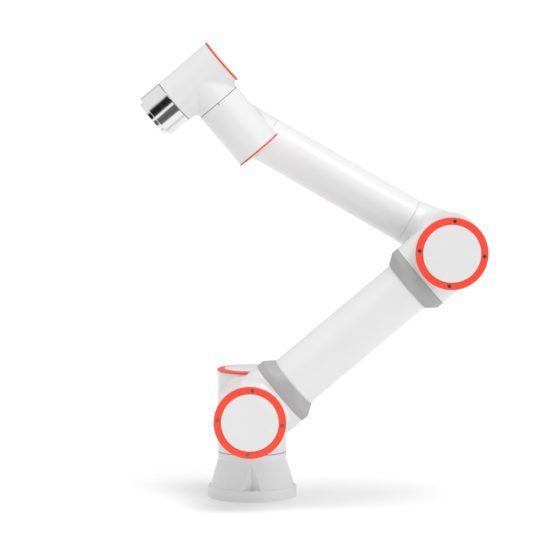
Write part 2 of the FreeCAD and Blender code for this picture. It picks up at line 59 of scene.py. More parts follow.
UPPER_TUBE_RADIUS = 44.5
FORE_TUBE_RADIUS = 38.5
STUB_HALF_DEPTH = 47.5
STUB_LENGTH = 63.5
SQUARENESS = 3.0
COLLAR_WALL = 11.5
COLLAR_TAPER = 16.0
COLLAR_END_RADIUS = 46.3
FORE_STUB_LENGTH = 74.0
FORE_STUB_ROOT = 51.3
FORE_BACK = 52.0
FORE_BACK_RADIUS = 49.0
FORE_BACK_ROUNDING = 14.0
WRIST_STUB_LENGTH = 48.0
CAP_LIFT = 0.3
PLUG_WALL = 4.8
PLUG_DEPTH = 6.0
SET_SCREW_STATION = 60.0
SET_SCREW_RADIUS = 2.0
MARK_WIDTH = 1.2
MARK_LENGTH = 3.0
STUB_STEP = 0.25
MARGIN = 6
SHOULDER_FILLET = 16
WRIST_FILLET = 11
UPPER_FILLET = 14
ELBOW_FILLET = 30
FORE_WRIST_FILLET = 9
WRIST_TAPER = 0.1
WRIST_TAPER_BLEND = 4.0

# ---------------------------------------------------------------- frames

MILLIMETRE = 0.001


def joint(name):
    """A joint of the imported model, by name."""
    return next(j for j in frame["joints"] if j["name"] == name)


def place(origin, z_axis, x_axis):
    """Matrix from millimetres in a local frame to metres in the arm's frame."""
    z = Vector(z_axis).normalized()
    x = Vector(x_axis).normalized()
    y = z.cross(x)
    turn = Matrix((x, y, z)).transposed().to_4x4()
    return Matrix.Translation(Vector(origin)) @ turn @ Matrix.Scale(MILLIMETRE, 4)


SHOULDER = Vector(joint("shoulder_lift")["pos_m"])
ELBOW = Vector(joint("elbow")["pos_m"])
WRIST_1 = Vector(joint("wrist_1_lift")["pos_m"])
WRIST_2 = Vector(joint("wrist_2_turn")["pos_m"])
WRIST_3 = Vector(joint("tool_rotation")["pos_m"])
ARM = (ELBOW - SHOULDER).normalized()
FORE = (WRIST_1 - ELBOW).normalized()
WRIST = (WRIST_3 - WRIST_2).normalized()
TOOL = Vector(joint("tool_rotation")["axis"])
SIDE = Vector((0, 1, 0))
UP = Vector((0, 0, 1))
UPPER_PLANE = -SIDE * (LARGE.stub + LARGE.seam) * MILLIMETRE

PLACES = {
    "shoulder": place(SHOULDER, -UP, -SIDE),
    "upper_arm_lower": place(SHOULDER + UPPER_PLANE, SIDE, ARM),
    "upper_arm_upper": place(ELBOW + UPPER_PLANE, SIDE, -ARM),
    "forearm": place(WRIST_1, -SIDE, -FORE),
    "wrist_1": place(WRIST_2, WRIST, SIDE),
    "wrist_2": place(WRIST_3, TOOL, -WRIST),
}
ELBOW_PLACE = place(ELBOW - SIDE * LARGE.stub * MILLIMETRE, -SIDE, FORE)
SIZES = {name: LARGE if name.startswith(("shoulder", "upper")) else SMALL for name in PLACES}
BODIES = {"shoulder": "shoulder", "upper_arm_lower": "upper_arm", "upper_arm_upper": "upper_arm",
          "forearm": "forearm", "wrist_1": "wrist_1", "wrist_2": "wrist_2"}


# ---------------------------------------------------------------- materials


class Finish:
    """A node material, and the few steps that all of them share."""

    def __init__(self, name, colour, roughness, metallic=0.0, specular=0.5):
        self.material = bpy.data.materials.new(name)
        self.material.use_nodes = True
        self.tree = self.material.node_tree
        self.shader = self.tree.nodes["Principled BSDF"]
        self.shader.inputs["Metallic"].default_value = metallic
        self.shader.inputs["Specular IOR Level"].default_value = specular
        self.colour = colour
        self.roughness = roughness
        self.coords = self.tree.nodes.new("ShaderNodeTexCoord")
        self.bumps = []
        self.colour_socket = None

    def link(self, out, into):
        self.tree.links.new(out, into)

    def noise(self, scale, detail=2.0, stretch=None, uv=False):
        """Noise in object space, with scale in features per metre, or along a lathe's own grooves."""
        source = self.coords.outputs["UV" if uv else "Object"]
        if stretch:
            mapping = self.tree.nodes.new("ShaderNodeMapping")
            mapping.inputs["Scale"].default_value = stretch
            self.link(source, mapping.inputs["Vector"])
            source = mapping.outputs["Vector"]
        node = self.tree.nodes.new("ShaderNodeTexNoise")
        node.inputs["Scale"].default_value = scale
        node.inputs["Detail"].default_value = detail
        self.link(source, node.inputs["Vector"])
        return node.outputs["Fac"]

    def grooves(self, matrix, scale, detail=3.0):
        """Noise that runs in circles about a frame's Z axis, as a lathe tool leaves it."""
        steps = []
        for operation in ("SUBTRACT", "DOT_PRODUCT", "SCALE", "SUBTRACT", "LENGTH"):
            node = self.tree.nodes.new("ShaderNodeVectorMath")
            node.operation = operation
            steps.append(node)
        offset, height, along, radial, radius = steps
        axis = (matrix.to_3x3() @ Vector((0, 0, 1))).normalized()
        offset.inputs[1].default_value = matrix.translation
        height.inputs[1].default_value = axis
        along.inputs[0].default_value = axis
        self.link(self.coords.outputs["Object"], offset.inputs[0])
        self.link(offset.outputs["Vector"], height.inputs[0])
        self.link(height.outputs["Value"], along.inputs["Scale"])
        self.link(offset.outputs["Vector"], radial.inputs[0])
        self.link(along.outputs["Vector"], radial.inputs[1])
        self.link(radial.outputs["Vector"], radius.inputs[0])
        pair = self.tree.nodes.new("ShaderNodeCombineXYZ")
        self.link(radius.outputs["Value"], pair.inputs["X"])
        self.link(height.outputs["Value"], pair.inputs["Y"])
        node = self.tree.nodes.new("ShaderNodeTexNoise")
        node.inputs["Scale"].default_value = scale
        node.inputs["Detail"].default_value = detail
        self.link(pair.outputs["Vector"], node.inputs["Vector"])
        return node.outputs["Fac"]

    def cells(self, scale):
        """Distance to the nearest point of a cell pattern, for moulded grain."""
        node = self.tree.nodes.new("ShaderNodeTexVoronoi")
        node.inputs["Scale"].default_value = scale
        self.link(self.coords.outputs["Object"], node.inputs["Vector"])
        return node.outputs["Distance"]

    def spread(self, value, low, high, start=0.3, end=0.7):
        """Map a pattern to a range of numbers."""
        node = self.tree.nodes.new("ShaderNodeMapRange")
        node.inputs["From Min"].default_value = start
        node.inputs["From Max"].default_value = end
        node.inputs["To Min"].default_value = low
        node.inputs["To Max"].default_value = high
        self.link(value, node.inputs["Value"])
        return node.outputs["Result"]

    def vary_colour(self, value, other, start=0.3, end=0.7):
        """Mix the base colour with another one by a pattern."""
        mix = self.tree.nodes.new("ShaderNodeMix")
        mix.data_type = "RGBA"
        if self.colour_socket:
            self.link(self.colour_socket, mix.inputs["A"])
        else:
            mix.inputs["A"].default_value = (*self.colour, 1)
        mix.inputs["B"].default_value = (*other, 1)
        self.link(self.spread(value, 0, 1, start, end), mix.inputs["Factor"])
        self.colour_socket = mix.outputs["Result"]

    def vary_roughness(self, value, change):
        """Let the roughness follow a pattern."""
        low, high = self.roughness - change, self.roughness + change
        self.link(self.spread(value, low, high), self.shader.inputs["Roughness"])

    def bump(self, value, height, strength=1.0):
        """Add relief, with its height in millimetres."""
        node = self.tree.nodes.new("ShaderNodeBump")
        node.inputs["Strength"].default_value = strength
        node.inputs["Distance"].default_value = height * MILLIMETRE
        self.link(value, node.inputs["Height"])
        if self.bumps:
            self.link(self.bumps[-1].outputs["Normal"], node.inputs["Normal"])
        self.bumps.append(node)

    def done(self):
        if self.colour_socket:
            self.link(self.colour_socket, self.shader.inputs["Base Color"])
        else:
            self.shader.inputs["Base Color"].default_value = (*self.colour, 1)
        if self.bumps:
            self.link(self.bumps[-1].outputs["Normal"], self.shader.inputs["Normal"])
        return self.material


def tint(colour, share):
    """A colour made lighter or darker."""
    return tuple(min(1.0, c * share) for c in colour)


def powder_coat(name, colour, roughness):
    """Satin coat with orange peel, faint clouding and a few dust specks."""
    finish = Finish(name, colour, roughness)
    finish.vary_colour(finish.noise(14, 3), tint(colour, 0.965))
    finish.vary_colour(finish.noise(2600, 1), tint(colour, 0.86), 0.70, 0.76)
    finish.vary_roughness(finish.noise(120, 3), 0.05)
    finish.bump(finish.noise(420, 2), 0.05, 0.5)
    finish.bump(finish.noise(1500, 2), 0.02, 0.5)
    finish.shader.inputs["Coat Weight"].default_value = 0.15
    finish.shader.inputs["Coat Roughness"].default_value = 0.2
    return finish.done()


def painted_tube(name, colour, roughness):
    """Paint over a drawn tube, with very faint drawing lines."""
    finish = Finish(name, colour, roughness)
    finish.vary_colour(finish.noise(9, 3), tint(colour, 0.97))
    finish.vary_colour(finish.noise(2400, 1), tint(colour, 0.88), 0.71, 0.77)
    finish.vary_roughness(finish.noise(90, 3), 0.04)
    finish.bump(finish.noise(160, 2, (6, 0.15, 1), uv=True), 0.03, 0.4)
    finish.bump(finish.noise(700, 2), 0.03, 0.4)
    finish.shader.inputs["Coat Weight"].default_value = 0.15
    finish.shader.inputs["Coat Roughness"].default_value = 0.18
    return finish.done()


def moulded_plastic(name, colour, roughness, grain=2200, relief=0.04, shade=0.94):
    """Moulded plastic with a fine spark-eroded grain."""
    finish = Finish(name, colour, roughness)
    finish.vary_colour(finish.noise(25, 3), tint(colour, shade))
    finish.vary_roughness(finish.noise(300, 3), 0.06)
    finish.bump(finish.cells(grain), relief, 0.45)
    finish.bump(finish.noise(grain * 0.35, 2), relief, 0.35)
    return finish.done()


def turned_metal(name, colour, roughness, matrix, spacing=1800, relief=0.012, patina=0.84):
    """Metal turned on a lathe: fine rings from the tool, wider bands and a few smears."""
    finish = Finish(name, colour, roughness, metallic=1.0)
    rings = finish.grooves(matrix, spacing)
    finish.vary_colour(rings, tint(colour, patina), 0.35, 0.7)
    finish.vary_colour(finish.noise(40, 4), tint(colour, 0.93))
    finish.vary_roughness(finish.grooves(matrix, spacing * 0.2), roughness * 0.35)
    finish.bump(rings, relief, 0.4)
    return finish.done()


def plain_metal(name, colour, roughness, scale=1500, relief=0.02):
    """Machined or bright-drawn metal with fine pits and smears."""
    finish = Finish(name, colour, roughness, metallic=1.0)
    finish.vary_colour(finish.noise(60, 4), tint(colour, 0.8))
    finish.vary_roughness(finish.noise(220, 4), roughness * 0.3)
    finish.bump(finish.noise(scale, 3), relief, 0.5)
    return finish.done()


def windings(name, copper, varnish):
    """Varnished copper windings on steel laminations."""
    finish = Finish(name, copper, 0.35, metallic=0.6)
    finish.vary_colour(finish.noise(1, 2, (60, 9000, 9000)), varnish)
    finish.vary_roughness(finish.noise(500, 3), 0.1)
    finish.bump(finish.noise(1, 2, (60, 9000, 9000)), 0.1, 0.6)
    return finish.done()


WHITE = (0.72, 0.72, 0.72)
MATERIALS = {
    "casting_white": powder_coat("casting_white", WHITE, 0.36),
    "tube_white": painted_tube("tube_white", (0.735, 0.735, 0.735), 0.32),
    "cap_white": moulded_plastic("cap_white", (0.715, 0.715, 0.715), 0.5, shade=0.97),
    "ring_orange": moulded_plastic("ring_orange", (0.94, 0.060, 0.024), 0.42, 2800, 0.02, 0.93),
    "collar_grey": moulded_plastic("collar_grey", (0.385, 0.385, 0.385), 0.55),
    "screw_steel": plain_metal("screw_steel", (0.34, 0.31, 0.29), 0.36),
    "flange_metal": turned_metal("flange_metal", (0.83, 0.83, 0.84), 0.13, PLACES["wrist_2"]),
    "connector_metal": plain_metal("connector_metal", (0.50, 0.50, 0.51), 0.30),
    "plate_aluminium": plain_metal("plate_aluminium", (0.66, 0.66, 0.67), 0.4, 900, 0.04),
    "gear_steel": plain_metal("gear_steel", (0.48, 0.48, 0.49), 0.3),
    "hub_aluminium": plain_metal("hub_aluminium", (0.62, 0.63, 0.65), 0.35),
    "stator_laminations": windings("stator_laminations", (0.62, 0.26, 0.12), (0.16, 0.05, 0.02)),
    "rotor_steel": plain_metal("rotor_steel", (0.34, 0.34, 0.36), 0.35),
}
SEAL_BLACK = moulded_plastic("seal_black", (0.05, 0.05, 0.052), 0.65)

# ---------------------------------------------------------------- mesh tools


def finished(name, matrix, verts, faces, body, slot, loop_normals=None, vertex_normals=None, uvs=None,
             material=None):
    """Make an object from local millimetres and give it its body, material slot and finish."""
    turn = np.array(matrix.to_3x3()) / MILLIMETRE
    co = np.asarray(verts, float) @ np.array(matrix.to_3x3()).T + np.array(matrix.translation)
    mesh = bpy.data.meshes.new(name)
    mesh.from_pydata(co.tolist(), [], faces.tolist() if isinstance(faces, np.ndarray) else faces)
    mesh.update()
    mesh.shade_smooth()
    if uvs is not None:
        layer = mesh.uv_layers.new(name="lathe")
        layer.data.foreach_set("uv", np.asarray(uvs, float).ravel())
    if loop_normals is not None:
        mesh.normals_split_custom_set((np.asarray(loop_normals) @ turn.T).tolist())
    if vertex_normals is not None:
        mesh.normals_split_custom_set_from_vertices((np.asarray(vertex_normals) @ turn.T).tolist())
    piece = bpy.data.objects.new(name, mesh)
    bpy.context.scene.collection.objects.link(piece)
    piece.data.materials.append(material or MATERIALS[slot])
    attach(piece, body)
    return piece


def outline(points):
    """Edges of a closed (radius, height) profile with their normals; a third value rounds a corner."""
    pts = [np.array(p[:2], float) for p in points]
    radii = [p[2] if len(p) > 2 else 0 for p in points]
    area = sum(a[0] * b[1] - b[0] * a[1] for a, b in zip(pts, pts[1:] + pts[:1]))
    if area < 0:
        pts.reverse()
        radii.reverse()
    starts, ends, arcs = [], [], []
    for i, p in enumerate(pts):
        before = pts[i - 1] - p
        after = pts[(i + 1) % len(pts)] - p
        before /= np.linalg.norm(before)
        after /= np.linalg.norm(after)
        if not radii[i]:
            starts.append(p)
            ends.append(p)
            arcs.append([])
            continue
        half = math.acos(np.clip(before @ after, -1, 1)) / 2
        reach = radii[i] / math.tan(half)
        bisector = (before + after) / np.linalg.norm(before + after)
        centre = p + bisector * radii[i] / math.sin(half)
        starts.append(p + before * reach)
        ends.append(p + after * reach)
        first = starts[-1] - centre
        last = ends[-1] - centre
        steps = 3 if radii[i] < 1 else 6
        turn = math.atan2(first[0] * last[1] - first[1] * last[0], first @ last)
        convex = 1 if turn > 0 else -1
        rounding = []
        for k in range(steps):
            pair = []
            for share in (k / steps, (k + 1) / steps):
                c, s = math.cos(turn * share), math.sin(turn * share)
                radial = np.array([c * first[0] - s * first[1], s * first[0] + c * first[1]])
                pair.append((centre + radial, convex * radial / radii[i]))
            rounding.append((*pair[0], *pair[1]))
        arcs.append(rounding)
    edges = []
    for i in range(len(pts)):
        edges += arcs[i]
        a, b = ends[i], starts[(i + 1) % len(pts)]
        run = b - a
        length = np.linalg.norm(run)
        if length > 1e-6 and max(a[0], b[0]) > 1e-6:
            normal = np.array([run[1], -run[0]]) / length
            edges.append((a, normal, b, normal))
    return edges


def lathe_parts(points, segments):
    """Vertices, faces, loop normals and UVs of a solid of revolution about local Z."""
    rings, verts, faces, normals, uvs = {}, [], [], [], []
    angles = [2 * math.pi * j / segments for j in range(segments)]

    def ring(p):
        key = (round(p[0], 5), round(p[1], 5))
        if key not in rings:
            start = len(verts)
            if p[0] < 1e-6:
                verts.append((0, 0, p[1]))
                rings[key] = [start] * segments
            else:
                verts.extend((p[0] * math.cos(t), p[0] * math.sin(t), p[1]) for t in angles)
                rings[key] = list(range(start, start + segments))
        return rings[key]

    run = 0.0
    for a, na, b, nb in outline(points):
        ra, rb = ring(a), ring(b)
        length = float(np.linalg.norm(b - a)) * MILLIMETRE
        for j in range(segments):
            k = (j + 1) % segments
            corners = [(ra[j], na, j, run), (ra[k], na, j + 1, run), (rb[k], nb, j + 1, run + length),
                       (rb[j], nb, j, run + length)]
            if ra[j] == ra[k]:
                corners.pop(1)
            elif rb[j] == rb[k]:
                corners.pop(3)
            faces.append([c[0] for c in corners])
            for _, n, index, v in corners:
                t = 2 * math.pi * index / segments
                normals.append((n[0] * math.cos(t), n[0] * math.sin(t), n[1]))
                uvs.append((index / segments, v))
        run += length
    return verts, faces, normals, uvs


def lathe(name, matrix, points, body, slot, segments=160, material=None):
    """A turned piece."""
    verts, faces, normals, uvs = lathe_parts(points, segments)
    return finished(name, matrix, verts, faces, body, slot, loop_normals=normals, uvs=uvs, material=material)


# ---------------------------------------------------------------- blended castings


def unit(v):
    """Vectors brought to length one."""
    return v / np.maximum(np.linalg.norm(v, axis=-1, keepdims=True), 1e-9)


def ease(x, width):
    """Zero below zero, one above the width, and smooth between."""
    t = np.clip(x / width, 0, 1)
    return t * t * (3 - 2 * t)


def drum(p, radius):
    """Cylinder on local Z: distance and normal."""
    q = p * (1, 1, 0)
    return np.linalg.norm(q, axis=-1) - radius, unit(q)


def rounded_drum(p, top_radius, low_radius, low, corner):
    """Tapered drum on local Z, from height 0 down to a closed low end with a rounded corner."""
    radius = top_radius + (low_radius - top_radius) * p[..., 2] / low
    flat = p * (1, 1, 0)
    out = np.linalg.norm(flat, axis=-1) - (radius - corner)
    down = low + corner - p[..., 2]
    both = np.stack([np.maximum(out, 0), np.maximum(down, 0)], -1)
    distance = np.linalg.norm(both, axis=-1) + np.minimum(np.maximum(out, down), 0) - corner
    normal = unit(flat) * np.where(out > 0, both[..., 0], 1e-3)[..., None]
    normal[..., 2] = -np.where((down > 0) | (down > out), np.maximum(down, 1e-3), 0)
    return distance, unit(normal)


def tapered_drum(p, radius, slope, soft):
    """Cylinder on local Z that narrows below its middle."""
    distance, normal = drum(p, radius)
    below = soft * np.logaddexp(0, -p[..., 2] / soft)
    return (distance + slope * below) * math.cos(math.atan(slope)), normal


def stub(p, radius, slope=0.0):
    """Cylinder or cone on local X, with a dome behind its root."""
    q = p.copy()
    q[..., 0] = np.minimum(q[..., 0], 0)
    tilt = math.cos(math.atan(slope))
    distance = (np.linalg.norm(q, axis=-1) - radius + slope * np.maximum(p[..., 0], 0)) * tilt
    normal = unit(q)
    normal[..., 0] += np.where(p[..., 0] > 0, slope, 0)
    return distance, unit(normal)


def square_stub(p, half_width, half_depth):
    """Square-shouldered stub on local X, with a dome behind its root."""
    y = np.abs(p[..., 1]) / half_width
    z = np.abs(p[..., 2]) / half_depth
    x = np.minimum(p[..., 0], 0) / half_width
    section = np.maximum((y ** SQUARENESS + z ** SQUARENESS) ** (1 / SQUARENESS), 1e-6)
    whole = np.sqrt(section ** 2 + x ** 2)
    slope = np.stack([
        x / half_width,
        np.sign(p[..., 1]) * section * (y / section) ** (SQUARENESS - 1) / half_width,
        np.sign(p[..., 2]) * section * (z / section) ** (SQUARENESS - 1) / half_depth,
    ], -1) / whole[..., None]
    steepness = np.maximum(np.linalg.norm(slope, axis=-1), 1e-6)
    return (whole - 1) / steepness, slope / steepness[..., None]


def merge(a, b, reach):
    """Union with a fillet, which dies out where the two surfaces lie along each other."""
    k = reach * np.clip(1 - (a[1] * b[1]).sum(-1), 0, 1) + 1e-6
    share = np.clip(0.5 + 0.5 * (b[0] - a[0]) / k, 0, 1)
    return b[0] + (a[0] - b[0]) * share - k * share * (1 - share)


def skin(name, matrix, field, low, high, cuts, body, slot, step, wall=WALL, rim=0.7):
    """Hollow casting whose outside is a field's zero, cut by planes that get a small round rim.

    The box is in local millimetres, and cuts lists the sides, as axis and sign, where the casting ends.
    """
    low, high = np.array(low, float), np.array(high, float)
    for axis, sign in cuts:
        (high if sign > 0 else low)[axis] -= sign * rim
    counts = np.round((high - low) / step).astype(int)
    steps = (high - low) / counts
    ticks = [low[a] + steps[a] * (np.arange(counts[a] + 2) - 0.5) for a in range(3)]
    grid = np.meshgrid(*ticks, indexing="ij")
    inside = field(np.stack(grid, -1)) < 0
    corners = sum(inside[i:i + counts[0] + 1, j:j + counts[1] + 1, k:k + counts[2] + 1].astype(int)
                  for i in (0, 1) for j in (0, 1) for k in (0, 1))
    mixed = (corners > 0) & (corners < 8)
    index = np.full(mixed.shape, -1)
    index[mixed] = np.arange(mixed.sum())
    cells = np.argwhere(mixed)
    points = low + cells * steps
    locked = np.zeros(points.shape, bool)
    outward = np.zeros(points.shape)
    for axis, sign in cuts:
        at_end = cells[:, axis] == (counts[axis] if sign > 0 else 0)
        locked[at_end, axis] = True
        outward[at_end, axis] = sign

    quads = []
    for a in range(3):
        order = (a, (a + 1) % 3, (a + 2) % 3)
        solid = inside.transpose(order)
        near = index.transpose(order)
        crossing = solid[:-1, 1:-1, 1:-1] != solid[1:, 1:-1, 1:-1]
        ring = [near[:, :-1, :-1], near[:, 1:, :-1], near[:, 1:, 1:], near[:, :-1, 1:]]
        ring = np.stack(ring, -1)[crossing]
        leaving = solid[:-1, 1:-1, 1:-1][crossing]
        quads.append(np.where(leaving[:, None], ring, ring[:, ::-1]))
    quads = np.concatenate(quads)
    edges = np.concatenate([quads[:, [i, (i + 1) % 4]] for i in range(4)])

    def slope_at(p):
        tiny = 0.01
        shifts = np.eye(3) * tiny
        return np.stack([field(p + s) - field(p - s) for s in shifts], -1) / (2 * tiny)

    def settle(p, rounds):
        for _ in range(rounds):
            slope = np.where(locked, 0, slope_at(p))
            push = field(p) / np.maximum((slope ** 2).sum(-1), 0.1)
            p = p - np.clip(push, -step, step)[:, None] * slope
        return p

    points = settle(points, 5)
    free = ~locked.any(1)
    for _ in range(4):
        total = np.zeros_like(points)
        number = np.zeros(len(points))
        for end, other in ((0, 1), (1, 0)):
            np.add.at(total, edges[:, end], points[edges[:, other]])
            np.add.at(number, edges[:, end], 1)
        average = total / np.maximum(number, 1)[:, None]
        points[free] += 0.6 * (average - points)[free]
        points = settle(points, 1)
    points = settle(points, 3)
    normals = unit(np.where(locked, 0, slope_at(points)))

    keys, which, number = np.unique(np.sort(edges, 1), axis=0, return_inverse=True, return_counts=True)
    open_edges = edges[number[which.ravel()] == 1]
    loop = np.unique(open_edges)
    count = len(points)
    verts = [points, points - normals * wall]
    shading = [normals, -normals]
    faces = [quads, quads[:, ::-1] + count]
    place_in_loop = np.zeros(count, int)
    place_in_loop[loop] = np.arange(len(loop))
    rows = [(rim * (1 - math.cos(t)), rim * math.sin(t), math.cos(t), math.sin(t)) for t in
            np.radians((22.5, 45, 67.5, 90))] + [(wall - 0.4, rim, 0, 1), (wall, rim, -0.7, 0.7)]
    last = loop
    start = 2 * count
    for inset, lift, across, along in rows:
        verts.append(points[loop] - normals[loop] * inset + outward[loop] * lift)
        shading.append(normals[loop] * across + outward[loop] * along)
        row = start + np.arange(len(loop))
        u, v = place_in_loop[open_edges[:, 0]], place_in_loop[open_edges[:, 1]]
        faces.append(np.stack([last[v], last[u], row[u], row[v]], -1))
        last = row
        start += len(loop)
    inner = loop + count
    faces.append(np.stack([last[v], last[u], inner[u], inner[v]], -1))
    return finished(name, matrix, np.concatenate(verts), np.concatenate(faces), body, slot,
                    vertex_normals=unit(np.concatenate(shading)))


def t_casting(owner, reach):
    """Casting with one module and a round stub for the module before it."""
    size = SIZES[owner]

    def field(p):
        fade = ease(size.stub - 1 - p[..., 0], 8) * ease(size.seam - 1 - p[..., 2], 8) \
            * ease(size.back - 1 + p[..., 2], 8)
        return merge(drum(p, size.shell), stub(p, size.shell - STUB_STEP), reach * fade)

    name = BODIES[owner] + "_housing"
    edge = size.shell + MARGIN
    piece = skin("visual_" + name, PLACES[owner], field, (-edge, -edge, -size.back),
                 (size.stub - HALF_SEAM, edge, size.seam - HALF_SEAM), ((0, 1), (2, 1), (2, -1)),
                 BODIES[owner], "casting_white", size.shell / 26)
    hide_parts(name)


def upper_casting(owner):
    """Casting at either end of the upper arm."""

    def field(p):
        fade = ease(STUB_LENGTH - 1 - p[..., 0], 10)
        square = square_stub(p, LARGE.shell - STUB_STEP, STUB_HALF_DEPTH)
        return merge(drum(p, LARGE.shell), square, UPPER_FILLET * fade)

    edge = LARGE.shell + MARGIN
    piece = skin("visual_" + owner + "_housing", PLACES[owner], field, (-edge, -edge, -LARGE.back),
                 (STUB_LENGTH, edge, LARGE.seam - HALF_SEAM), ((0, 1), (2, 1), (2, -1)),
                 "upper_arm", "casting_white", 2.2, rim=0.5)
    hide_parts(owner + "_housing")


def elbow_casting():
    """Forearm's closed drum on the elbow, with a tapered stub."""
    low = -(FORE_BACK + LARGE.stub)
    slope = (FORE_STUB_ROOT - FORE_TUBE_RADIUS) / FORE_STUB_LENGTH
    centre = np.array((0, 0, LARGE.stub))

    def field(p):
        fade = ease(FORE_STUB_LENGTH - 1 - p[..., 0], 22) * ease(-1 - p[..., 2], 8)
        body = rounded_drum(p, LARGE.shell, FORE_BACK_RADIUS, low, FORE_BACK_ROUNDING)
        return merge(body, stub(p + centre, FORE_STUB_ROOT, slope), ELBOW_FILLET * fade)

    edge = LARGE.shell + MARGIN
    piece = skin("visual_forearm_elbow_housing", ELBOW_PLACE, field, (-edge, -edge, low - MARGIN),
                 (FORE_STUB_LENGTH, edge, -HALF_SEAM), ((0, 1), (2, 1)),
                 "forearm", "casting_white", 2.2, rim=0.4)
    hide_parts("forearm_elbow_housing")


def fore_wrist_casting():
    """Casting at the far end of the forearm, which narrows towards its cap."""
    back = TAPERED.back

    def field(p):
        fade = ease(WRIST_STUB_LENGTH - 1 - p[..., 0], 8) * ease(SMALL.seam - 1 - p[..., 2], 8) \
            * ease(back - 1 + p[..., 2], 8)
        body = tapered_drum(p, SMALL.shell, WRIST_TAPER, WRIST_TAPER_BLEND)
        return merge(body, stub(p, FORE_TUBE_RADIUS), FORE_WRIST_FILLET * fade)

    edge = SMALL.shell + MARGIN
    piece = skin("visual_forearm_wrist_housing", PLACES["forearm"], field, (-edge, -edge, -back),
                 (WRIST_STUB_LENGTH, edge, SMALL.seam - HALF_SEAM), ((0, 1), (2, 1), (2, -1)),
                 "forearm", "casting_white", 1.5, rim=0.4)
    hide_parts("forearm_wrist_housing")


t_casting("shoulder", SHOULDER_FILLET)
t_casting("wrist_1", WRIST_FILLET)
t_casting("wrist_2", WRIST_FILLET)
upper_casting("upper_arm_lower")
upper_casting("upper_arm_upper")
elbow_casting()
fore_wrist_casting()

# ---------------------------------------------------------------- tubes, collars and seals

X_TO_Z = Matrix(((0, 0, 1, 0), (1, 0, 0, 0), (0, 1, 0, 0), (0, 0, 0, 1)))


def arm_tube(name, owner, radius, start, end, body):
    """Drawn tube with eased ends, along a casting's local X."""
    piece = lathe("visual_" + name, PLACES[owner] @ X_TO_Z, [
        (radius - WALL, start), (radius, start, 0.35), (radius, end, 0.35), (radius - WALL, end)],
        body, "tube_white", segments=192)
    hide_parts(name)


arm_tube("upper_arm_tube", "upper_arm_lower", UPPER_TUBE_RADIUS, STUB_LENGTH + 0.2,
         UPPER_ARM_LENGTH - STUB_LENGTH - 0.2, "upper_arm")
arm_tube("forearm_tube", "forearm", FORE_TUBE_RADIUS, WRIST_STUB_LENGTH + 0.3,
         FOREARM_LENGTH - FORE_STUB_LENGTH - 0.3, "forearm")


def collar(owner):
    """Grey collar from the square-shouldered stub down to the round tube."""
    segments = 160
    angles = [2 * math.pi * j / segments for j in range(segments)]
    power = 2 / SQUARENESS

    def ring(station, taper, inset=0.0):
        points = []
        for t in angles:
            c, s = math.cos(t), math.sin(t)
            wide = (LARGE.shell - STUB_STEP - inset) * math.copysign(abs(c) ** power, c)
            deep = (STUB_HALF_DEPTH - inset) * math.copysign(abs(s) ** power, s)
            end = COLLAR_END_RADIUS - inset
            points.append((station, wide + taper * (end * c - wide), deep + taper * (end * s - deep)))
        return points

    def bore(station, radius):
        return [(station, radius * math.cos(t), radius * math.sin(t)) for t in angles]

    first = STUB_LENGTH + 0.3
    wall_end = STUB_LENGTH + COLLAR_WALL
    tip = wall_end + COLLAR_TAPER
    gap_radius = UPPER_TUBE_RADIUS + 1.2
    rings = [bore(first, UPPER_TUBE_RADIUS), ring(first, 0, 0.8), ring(first, 0, 0.5)]
    rings += [ring(first + 0.15, 0, 0.15), ring(first + 0.5, 0), ring(first + 0.9, 0)]
    bend = 1.2
    rings += [ring(wall_end - bend - 0.6, 0)]
    for t in (0, 0.25, 0.5, 0.75, 1):
        rings.append(ring(wall_end + bend * (2 * t - 1), t * t * bend / COLLAR_TAPER))
    rings += [ring(wall_end + bend + 0.6, (bend + 0.6) / COLLAR_TAPER)]
    share = 1 - 1.2 / COLLAR_TAPER
    rings += [ring(tip - 1.2, share), ring(tip - 0.5, 1 - 0.5 / COLLAR_TAPER, 0.05),
              ring(tip - 0.1, 1, 0.2), bore(tip, COLLAR_END_RADIUS - 0.5), bore(tip, gap_radius),
              bore(tip - 3, gap_radius), bore(tip - 3, UPPER_TUBE_RADIUS)]
    verts = [p for r in rings for p in r]
    faces = []
    for i in range(len(rings)):
        a, b = i * segments, (i + 1) % len(rings) * segments
        for j in range(segments):
            k = (j + 1) % segments
            faces.append((a + j, a + k, b + k, b + j))
    name = owner + "_collar"
    piece = finished("visual_" + name, PLACES[owner], verts, faces, "upper_arm", "collar_grey")
    piece.data.set_sharp_from_angle(angle=math.radians(35))
    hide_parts(name)


collar("upper_arm_lower")
collar("upper_arm_upper")

for owner, size in SIZES.items():
    outer = size.shell - 1.1
    lathe(owner + "_shaft_seal", PLACES[owner], [
        (outer - 3, size.seam - HALF_SEAM - 0.6), (outer, size.seam - HALF_SEAM - 0.6),
        (outer, size.seam + HALF_SEAM - 0.1), (outer - 3, size.seam + HALF_SEAM - 0.1)],
        BODIES[owner], "collar_grey", material=SEAL_BLACK)


# ---------------------------------------------------------------- caps and small fixings


